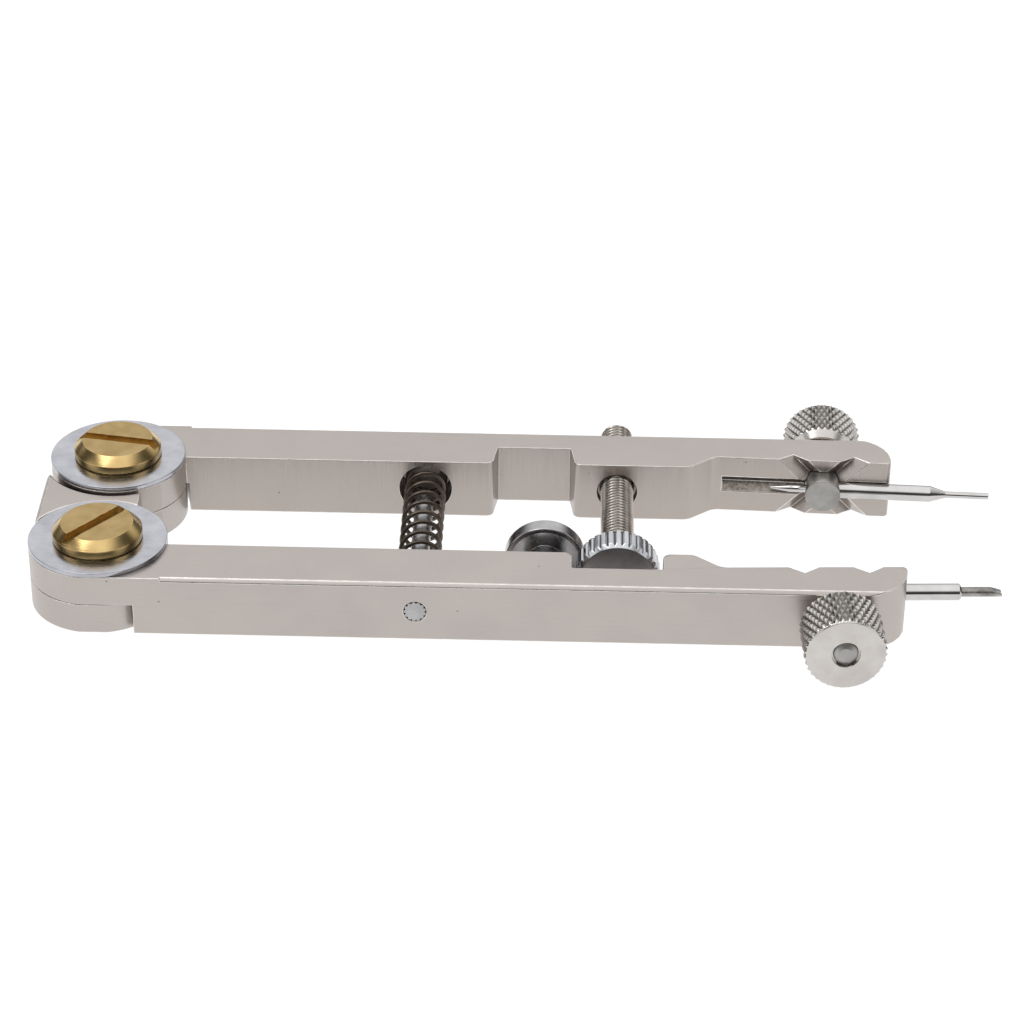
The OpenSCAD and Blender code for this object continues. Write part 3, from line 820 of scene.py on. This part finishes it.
def cut_blank(name, node, direction, points, around, row, values, ring=False, smooth_to=40):
    """Turns a blank round a CAD node's axis, cuts its grooves and stands it in its place."""
    start = axis_of(node, direction)[0]
    blank = lathe(name, split(outline(points), row), around=around, ring=ring)
    piece = bpy.data.objects.new(name, blank)
    bpy.context.scene.collection.objects.link(piece)
    run_tree(piece, cut_grooves, values)
    set_in_place(piece.data, start, direction)
    smooth_below(piece, smooth_to)
    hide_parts(node)
    print(name, "has", len(piece.data.polygons), "faces")
    return piece


WHEEL_TEETH = 34
TOOTH_DEPTH = 0.34 * MM
WHEEL_CHAMFER = 0.6 * MM
WHEEL_R, WHEEL_T = axis_of("width_wheel", TO_REAR)[1:]
BEVEL = 0.1 * MM
wheel = cut_blank(
    "width_wheel_knurled", "width_wheel", TO_REAR,
    [
        (0, 0, 0), (WHEEL_R - WHEEL_CHAMFER, 0, BEVEL), (WHEEL_R, WHEEL_CHAMFER, BEVEL),
        (WHEEL_R, WHEEL_T - WHEEL_CHAMFER / 2, 0), (WHEEL_R - WHEEL_CHAMFER / 2, WHEEL_T, BEVEL),
        (0, WHEEL_T, 0)
    ],
    WHEEL_TEETH * 12, 0.25 * MM,
    {"Radius": WHEEL_R, "Depth": TOOTH_DEPTH, "Starts": WHEEL_TEETH, "First climb": 0.0,
     "Second climb": 0.0, "Flat": 0.5, "Low": 0.0, "High": WHEEL_T, "Material": wheel_steel}
)

# %% [markdown]
# ## The threaded rod
#
# The wheel is fixed on a rod that screws through the rear arm. Its thread is one groove
# that climbs 0.8 mm in a turn, right-handed, so both families of the tree get the same
# climb. Rows a tenth of a millimetre apart draw each flank with four points.

# %% The rod
PITCH = 0.8 * MM
THREAD_DEPTH = 0.46 * MM
ROD_CHAMFER = 0.6 * MM
ROD_R, ROD_LENGTH = axis_of("width_rod", TO_REAR)[1:]
rod = cut_blank(
    "width_rod_threaded", "width_rod", TO_REAR,
    [
        (0, 0, 0), (ROD_R, 0, 0), (ROD_R, ROD_LENGTH - ROD_CHAMFER, 0),
        (ROD_R - ROD_CHAMFER, ROD_LENGTH, 0.15 * MM), (0, ROD_LENGTH, 0)
    ],
    64, PITCH / 8,
    {"Radius": ROD_R, "Depth": THREAD_DEPTH, "Starts": 1, "First climb": -1 / PITCH,
     "Second climb": -1 / PITCH, "Flat": 0.75, "Low": -1.0, "High": 1.0, "Material": threaded_steel}
)

# %% [markdown]
# ## The clamp nuts
#
# Each nut is turned with bare fingers, so it has a diamond knurl: two families of grooves
# that climb opposite ways and leave small pyramids. The pyramids are about twice as long
# as they are wide. The blank has eight columns for each groove and twelve rows for each
# diamond, so that its points fall on the grooves and on the peaks.

# %% The nuts
NUT_GROOVES = 36
DIAMOND_LENGTH = 2.3 * MM
NUT_DEPTH = 0.36 * MM
NUT_NEAR = 1.2 * MM
NUT_FAR = 0.5 * MM
NUT_SINK = 0.6 * MM
SINK_GAP = 0.22 * MM
OUTWARD = {
    joint["child"].split("_")[0]: -Vector(joint["axis"])
    for joint in frame["joints"] if "stud_travel" in joint["name"]
}


def clamp_nut(side):
    node = side + "_clamp_nut"
    direction = OUTWARD[side]
    start, radius, length = axis_of(node, direction)
    ahead = direction.normalized()
    stud_r = min((v.co - start).cross(ahead).length for v in frame["nodes"][node].data.vertices)
    sink_r = stud_r + SINK_GAP
    points = [
        (stud_r, length - NUT_SINK, 0), (stud_r, 0, 0), (radius - NUT_NEAR, 0, BEVEL),
        (radius, NUT_NEAR, BEVEL), (radius, length - NUT_FAR, 0), (radius - NUT_FAR, length, BEVEL),
        (sink_r, length, BEVEL), (sink_r, length - NUT_SINK, 0), (stud_r, length - NUT_SINK, 0)
    ]
    return cut_blank(
        node + "_knurled", node, direction, points, NUT_GROOVES * 8, DIAMOND_LENGTH / 12,
        {"Radius": radius, "Depth": NUT_DEPTH, "Starts": NUT_GROOVES,
         "First climb": 1 / DIAMOND_LENGTH, "Second climb": -1 / DIAMOND_LENGTH, "Flat": 0.9,
         "Low": NUT_NEAR * 0.8, "High": length, "Material": knurled_plating},
        ring=True, smooth_to=25
    )


nuts = [clamp_nut("front"), clamp_nut("rear")]

# %% [markdown]
# ## The return spring
#
# A compression spring pushes the arms apart. Its wire follows a path, so Geometry Nodes
# bend a straight curve into the coil: the first and last turns lie nearly flat, and the
# turns between them share the rest of the length. The curve then gets a round wire.

# %% The spring tree
CLOSED_SHARE = 0.08
WIRE_POINTS = 720


def spring_tree():
    """Geometry Nodes that bend a straight curve into a coil round Z and give it its wire."""
    tree = bpy.data.node_groups.new("coil spring", "GeometryNodeTree")
    tree.interface.new_socket("Geometry", in_out="OUTPUT", socket_type="NodeSocketGeometry")
    tree.interface.new_socket("Geometry", in_out="INPUT", socket_type="NodeSocketGeometry")
    for name in ("Turns", "Coil radius", "Wire radius", "Length"):
        tree.interface.new_socket(name, in_out="INPUT", socket_type="NodeSocketFloat")
    tree.interface.new_socket("Material", in_out="INPUT", socket_type="NodeSocketMaterial")
    given = add(tree, "NodeGroupInput").outputs
    line = add(tree, "GeometryNodeCurvePrimitiveLine")
    fine = add(tree, "GeometryNodeResampleCurve", {"Curve": line, "Count": WIRE_POINTS})
    along = add(tree, "GeometryNodeSplineParameter").outputs["Factor"]
    turn = add(tree, "ShaderNodeMath", {0: along, 1: given["Turns"]}, operation="MULTIPLY")
    angle = add(tree, "ShaderNodeMath", {0: turn, 1: TAU}, operation="MULTIPLY")

    # The wire climbs a little in its first and last turn and evenly between them.
    last = add(tree, "ShaderNodeMath", {0: given["Turns"], 1: 1.0}, operation="SUBTRACT")
    climb = 0.0
    for begin, end, part in (
        (0.0, 1.0, CLOSED_SHARE), (last, given["Turns"], CLOSED_SHARE), (1.0, last, 1 - 2 * CLOSED_SHARE)
    ):
        rise = add(tree, "ShaderNodeMapRange", {
            "Value": turn, "From Min": begin, "From Max": end, "To Max": part
        })
        climb = add(tree, "ShaderNodeMath", {0: climb, 1: rise}, operation="ADD")
    wire_width = add(tree, "ShaderNodeMath", {0: given["Wire radius"], 1: 2.0}, operation="MULTIPLY")
    room = add(tree, "ShaderNodeMath", {0: given["Length"], 1: wire_width}, operation="SUBTRACT")
    height = add(tree, "ShaderNodeMath", {
        0: climb, 1: room, 2: given["Wire radius"]
    }, operation="MULTIPLY_ADD")
    cosine = add(tree, "ShaderNodeMath", {0: angle}, operation="COSINE")
    sine = add(tree, "ShaderNodeMath", {0: angle}, operation="SINE")
    across = add(tree, "ShaderNodeMath", {0: cosine, 1: given["Coil radius"]}, operation="MULTIPLY")
    ahead = add(tree, "ShaderNodeMath", {0: sine, 1: given["Coil radius"]}, operation="MULTIPLY")
    place = add(tree, "ShaderNodeCombineXYZ", {0: across, 1: ahead, 2: height})
    coil = add(tree, "GeometryNodeSetPosition", {"Geometry": fine, "Position": place})
    section = add(tree, "GeometryNodeCurvePrimitiveCircle", {
        "Resolution": 16, "Radius": given["Wire radius"]
    })
    wire = add(tree, "GeometryNodeCurveToMesh", {
        "Curve": coil, "Profile Curve": section, "Fill Caps": True
    })
    real = add(tree, "GeometryNodeRealizeInstances", {"Geometry": wire})
    painted = add(tree, "GeometryNodeSetMaterial", {"Geometry": real, "Material": given["Material"]})
    add(tree, "NodeGroupOutput", {0: painted})
    return tree


coil_spring = spring_tree()
print("spring tree:", len(coil_spring.nodes), "nodes")

# %% The spring
COIL_TURNS = 11
WIRE_R = 0.33 * MM
spring_low, spring_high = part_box("return_spring")
SPRING_LENGTH = spring_high.y - spring_low.y
SPRING_X = (spring_low.x + spring_high.x) / 2
spring_start = Vector((SPRING_X, spring_low.y, (spring_low.z + spring_high.z) / 2))
spring = bpy.data.objects.new("return_spring_coil", bpy.data.meshes.new("return_spring_coil"))
bpy.context.scene.collection.objects.link(spring)
run_tree(spring, coil_spring, {
    "Turns": COIL_TURNS, "Coil radius": (spring_high.z - spring_low.z) / 2 - WIRE_R,
    "Wire radius": WIRE_R, "Length": SPRING_LENGTH, "Material": spring_steel
})
set_in_place(spring.data, spring_start, TO_REAR)
spring.data.shade_smooth()
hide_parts("return_spring")
print("spring faces:", len(spring.data.polygons))

# %% [markdown]
# ## The catch screw
#
# A screw in the front arm carries a thin disc that hooks the wheel's back and so stops
# the arms from opening too far. The disc has a polished rim and a hollow cone round a
# small hub, all of it turned, so the lathe makes it again.

# %% The catch screw
CATCH_T = 2.6 * MM
CATCH_SHANK_R = 2 * MM
CATCH_HUB = 0.6 * MM
CATCH_FILLET = 1 * MM
CATCH_RIM = 0.7 * MM
CATCH_DISH = 0.9 * MM
catch_start, CATCH_R, CATCH_LENGTH = axis_of("catch_screw", TO_REAR)
disc_face = CATCH_LENGTH - CATCH_T
catch_outline = outline([
    (0, 0, 0), (CATCH_SHANK_R, 0, BEVEL), (CATCH_SHANK_R, disc_face - CATCH_FILLET, 0.2 * MM),
    (CATCH_SHANK_R + CATCH_HUB, disc_face + CATCH_DISH, BEVEL), (CATCH_R - CATCH_RIM, disc_face, BEVEL),
    (CATCH_R, disc_face, 0.25 * MM), (CATCH_R, CATCH_LENGTH, 0.3 * MM), (0, CATCH_LENGTH, 0)
])
catch_mesh = set_in_place(lathe("catch_screw_turned", catch_outline), catch_start, TO_REAR)
catch = finished("catch_screw_turned", catch_mesh)
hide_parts("catch_screw")
print("catch screw:", len(catch.data.polygons), "faces")

# %% [markdown]
# ## Clamp studs
#
# Each stud goes through an arm. Its head is cross-drilled, and the bit runs through that
# hole, so tightening the nut pulls the bit into its groove. The head is turned first and
# the hole is then taken out with a Boolean, on the bit's own axis.

# %% The studs
STUD_HEAD = 4.6 * MM
STUD_R = 1.8 * MM
STUD_DOME = 0.35 * MM
DRILL_GAP = 0.03 * MM
DRILL_LENGTH = 30 * MM
DRILL_LEAD = 5 * MM
BIT_AXIS = {
    joint["child"]: Vector(joint["axis"])
    for joint in frame["joints"] if "bit_travel" in joint["name"]
}


def clamp_stud(side, bit_node):
    direction = OUTWARD[side]
    node = side + "_clamp_stud"
    start, radius, length = axis_of(node, direction)
    mesh = lathe(node + "_drilled", outline([
        (0, 0, 0), (radius, 0, 0.12 * MM), (radius, STUD_HEAD, BEVEL), (STUD_R, STUD_HEAD, 0),
        (STUD_R, length - STUD_DOME, 0.25 * MM), (STUD_R * 0.55, length, 0.5 * MM), (0, length, 0)
    ]))
    piece = finished(node + "_drilled", set_in_place(mesh, start, direction), weighted=False)
    way = BIT_AXIS[side + "_bit"]
    bit_start, bit_r = axis_of(bit_node, way)[:2]
    hole_r = bit_r + DRILL_GAP
    corners = [(0, 0), (hole_r, 0), (hole_r, DRILL_LENGTH), (0, DRILL_LENGTH)]
    drill = lathe("drill", [Vector(corner) for corner in corners], around=64)
    cut(piece, set_in_place(drill, bit_start - DRILL_LEAD * way.normalized(), way))
    smooth_below(piece, 35)
    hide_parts(node)
    return piece


studs = [clamp_stud("front", "front_bit_barrel"), clamp_stud("rear", "rear_pin_bit")]
print("studs:", [s.name for s in studs])

# %% [markdown]
# ## Bits
#
# Both bits are thin polished rods that lie in the groove of their arm. The rear one has a
# straight pin for the spring bar at one end and a needle at the other. The front one is a
# barrel that holds a small forked blade. The rods are turned; the blade comes from its
# CAD node with finer edges.

# %% The bits
PIN_R = 0.5 * MM
PIN_LENGTH = 6.6 * MM
PIN_CONE = 2.4 * MM
NEEDLE_R = 0.6 * MM
NEEDLE_POINT = 3.1 * MM
NEEDLE_LENGTH = 6.1 * MM
NEEDLE_STEP = 0.15 * MM
BARREL_EDGE = 0.3 * MM
BORE_DEPTH = 2.9 * MM
BORE_R = axis_of("front_fork_tip", BIT_AXIS["front_bit"])[1] + 0.01 * MM


def bit(name, node, way, points):
    start, radius, length = axis_of(node, way)
    mesh = lathe(name, outline(points(radius, length)), around=64)
    piece = finished(name, set_in_place(mesh, start, way))
    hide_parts(node)
    return piece


def pin_bit_outline(radius, length):
    pin_start = length - PIN_LENGTH
    return [
        (0, 0, 0), (NEEDLE_R * 0.25, NEEDLE_STEP, 0.05 * MM), (NEEDLE_R, NEEDLE_POINT, 0.8 * MM),
        (NEEDLE_R, NEEDLE_LENGTH, 0), (radius - 0.12 * MM, NEEDLE_LENGTH, 0.05 * MM),
        (radius, NEEDLE_LENGTH + NEEDLE_STEP, 0.05 * MM), (radius, pin_start - PIN_CONE, 0.3 * MM),
        (PIN_R, pin_start, 0.6 * MM), (PIN_R, length - 0.08 * MM, 0.05 * MM),
        (PIN_R - 0.12 * MM, length, 0.03 * MM), (0, length, 0)
    ]


def barrel_outline(radius, length):
    edge = BARREL_EDGE
    return [
        (0, 0, 0), (radius - edge, 0, BEVEL), (radius, edge, BEVEL),
        (radius, length - edge, 0.15 * MM), (radius - edge, length, BEVEL),
        (BORE_R, length, 0), (BORE_R, length - BORE_DEPTH, 0), (0, length - BORE_DEPTH, 0)
    ]


pin_bit = bit("rear_pin_bit_polished", "rear_pin_bit", BIT_AXIS["rear_bit"], pin_bit_outline)
barrel = bit("front_bit_barrel_polished", "front_bit_barrel", BIT_AXIS["front_bit"], barrel_outline)
BLADE_EDGE = 0.05 * MM
blade = milled("front_fork_blade", "front_fork_tip", BLADE_EDGE, segments=1)
print("pin bit and barrel:", len(pin_bit.data.polygons), "and", len(barrel.data.polygons), "faces")

# %% [markdown]
# ## The guide pin
#
# The pin that carries the spring is pressed through the front arm and staked: a punch
# has pushed small notches into the edge of its end, which shows on the arm's outer face.
# The groove tree cuts these notches too, in a short stretch next to the end.

# %% The guide pin
GUIDE_NOTCHES = 13
NOTCH_DEPTH = 0.3 * MM
NOTCH_LENGTH = 0.35 * MM
GUIDE_COLLAR = 9.5 * MM
GUIDE_STEM_R = 1.4 * MM
GUIDE_TIP_R = 0.8 * MM
GUIDE_R, GUIDE_LENGTH = axis_of("spring_guide_pin", TO_REAR)[1:]
guide_pin = cut_blank(
    "spring_guide_pin_staked", "spring_guide_pin", TO_REAR,
    [
        (0, 0, 0), (GUIDE_R, 0, 0.12 * MM), (GUIDE_R, GUIDE_COLLAR, 0), (GUIDE_STEM_R, GUIDE_COLLAR, 0),
        (GUIDE_STEM_R, GUIDE_LENGTH - 0.4 * MM, 0.2 * MM), (GUIDE_TIP_R, GUIDE_LENGTH, 0.2 * MM),
        (0, GUIDE_LENGTH, 0)
    ],
    GUIDE_NOTCHES * 8, 0.25 * MM,
    {"Radius": GUIDE_R, "Depth": NOTCH_DEPTH, "Starts": GUIDE_NOTCHES, "First climb": 0.0,
     "Second climb": 0.0, "Flat": 0.6, "Low": -1.0, "High": NOTCH_LENGTH, "Material": bright_steel}
)

# %% [markdown]
# ## Finishes on pieces
#
# Each piece gets its finish and the body it moves with. The pieces cut by a tree have
# their finish from it. The spring rides the front arm.

# %% Finish and body of each piece
def fitted(piece, body, material=None):
    """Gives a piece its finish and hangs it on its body."""
    if material:
        piece.data.materials.clear()
        piece.data.materials.append(material)
    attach(piece, body)


fitted(front_arm, "front_arm", plated_steel)
fitted(rear_arm, "rear_arm", plated_steel)
fitted(bridge, "bridge", plated_steel)
for washer in washers:
    fitted(washer, "bridge", ground_steel)
for screw in screws:
    fitted(screw, "bridge", brass)
fitted(guide_pin, "front_arm")
fitted(spring, "front_arm")
fitted(rod, "width_rod")
fitted(wheel, "width_wheel")
fitted(catch, "catch_screw", catch_steel)
for stud, side in zip(studs, ("front", "rear")):
    fitted(stud, side + "_clamp_stud", stud_steel)
for nut, side in zip(nuts, ("front", "rear")):
    fitted(nut, side + "_clamp_nut")
fitted(barrel, "front_bit", bit_chrome)
fitted(blade, "front_bit", fork_steel)
fitted(pin_bit, "rear_bit", bit_chrome)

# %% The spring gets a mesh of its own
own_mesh(spring)

# %% [markdown]
# ## Floor and light
#
# The tool lies on a lit white table, as small goods often do in a studio, so the ground
# stays white and only a breath of shadow shows. The table tilts a little, so that it
# passes just under the bridge's back edge and under the wheel, the lowest point of all.
# Metal shows little but what it mirrors.
# A bright ceiling and back wall give the tops an even tone. The room is dark in front and
# at the sides, so round bits, threads and knurls get the dark bands that make them look
# like metal, and one large soft box adds the sweep on the bevels.

# %% Floor
GLOW = 1.0
TABLE_COLOUR = "3C3C3C"
TABLE_HALF = 1.2
TABLE_GAP = 0.05 * MM
wheel_low, wheel_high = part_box("width_wheel")
back_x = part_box("bridge")[0].x
wheel_x = (wheel_low.x + wheel_high.x) / 2
slope = wheel_low.z / (wheel_x - back_x)


def lit_table():
    """A plain tilted sheet that glows, marked as the stage."""
    size = TABLE_HALF
    mesh = bpy.data.meshes.new("table")
    corners = [(-size, -size), (size, -size), (size, size), (-size, size)]
    vertices = [(x, y, slope * (x - back_x) - TABLE_GAP) for x, y in corners]
    mesh.from_pydata(vertices, [], [(0, 1, 2, 3)])
    table = bpy.data.objects.new("table", mesh)
    bpy.context.scene.collection.objects.link(table)
    made = bpy.data.materials.new("white_acrylic_table")
    made.use_nodes = True
    tree = made.node_tree
    tree.nodes.clear()
    shader = add(tree, "ShaderNodeBsdfPrincipled", {
        "Base Color": linear(TABLE_COLOUR), "Roughness": 0.6, "Emission Color": linear("FFFFFF"),
        "Emission Strength": GLOW
    })
    add(tree, "ShaderNodeOutputMaterial", {"Surface": shader})
    mesh.materials.append(made)


lit_table()
print("table falls", round(wheel_low.z / MM, 2), "mm to the wheel")

# %% Sky
CEILING = 1.2
BACK_WALL = 1.06
DARK_ROOM = 0.07
SIDE_CARD = look_direction(math.radians(67), math.radians(20))


def studio_sky():
    """A bright ceiling, a back wall and two side cards in a dark room."""
    world = bpy.data.worlds.new("studio")
    bpy.context.scene.world = world
    world.use_nodes = True
    tree = world.node_tree
    tree.nodes.clear()
    place = add(tree, "ShaderNodeTexCoord").outputs["Generated"]
    way = add(tree, "ShaderNodeSeparateXYZ", {0: place}).outputs
    sideways = add(tree, "ShaderNodeMath", {0: way[0]}, operation="ABSOLUTE")

    overhead = add(tree, "ShaderNodeMapRange", {
        "Value": way[2], "From Min": 0.52, "From Max": 0.78, "To Max": CEILING
    })
    central = add(tree, "ShaderNodeMapRange", {
        "Value": sideways, "From Min": 0.42, "From Max": 0.7, "To Min": 1.0, "To Max": 0.0
    })
    ceiling = add(tree, "ShaderNodeMath", {0: overhead, 1: central}, operation="MULTIPLY")
    behind = add(tree, "ShaderNodeMapRange", {
        "Value": way[1], "From Min": 0.3, "From Max": 0.6, "To Max": BACK_WALL
    })
    raised = add(tree, "ShaderNodeMapRange", {"Value": way[2], "From Min": 0.2, "From Max": 0.42})
    wall = add(tree, "ShaderNodeMath", {0: behind, 1: raised}, operation="MULTIPLY")

    mirrored = add(tree, "ShaderNodeCombineXYZ", {0: sideways, 1: way[1], 2: way[2]})
    towards = add(tree, "ShaderNodeVectorMath", {0: mirrored, 1: SIDE_CARD}, operation="DOT_PRODUCT")
    card = add(tree, "ShaderNodeMapRange", {
        "Value": towards.outputs["Value"], "From Min": 0.92, "From Max": 0.97
    })
    brightest = add(tree, "ShaderNodeMath", {0: ceiling, 1: wall}, operation="MAXIMUM")
    brightest = add(tree, "ShaderNodeMath", {0: brightest, 1: card}, operation="MAXIMUM")
    level = add(tree, "ShaderNodeMath", {0: brightest, 1: DARK_ROOM}, operation="ADD")
    sky = add(tree, "ShaderNodeBackground", {"Color": level, "Strength": 1.0})
    add(tree, "ShaderNodeOutputWorld", {"Surface": sky})
    return world


world = studio_sky()
print("sky:", len(world.node_tree.nodes), "nodes")


# %% Soft box
def soft_box(name, azimuth, elevation, distance, size, power):
    """A square lamp that looks at the tool from a direction given in degrees."""
    lamp = bpy.data.lights.new(name, "AREA")
    lamp.size = size
    lamp.energy = power
    made = bpy.data.objects.new(name, lamp)
    bpy.context.scene.collection.objects.link(made)
    back = look_direction(math.radians(azimuth), math.radians(elevation))
    turn = back.to_track_quat("Z", "Y").to_matrix().to_4x4()
    made.matrix_world = Matrix.Translation(CAMERA_TARGET + back * distance) @ turn
    return made


soft_box("key box", azimuth=-60, elevation=62, distance=1.1, size=0.5, power=2.2)
scene = bpy.context.scene
scene.view_settings.view_transform = "Standard"
scene.view_settings.look = "None"
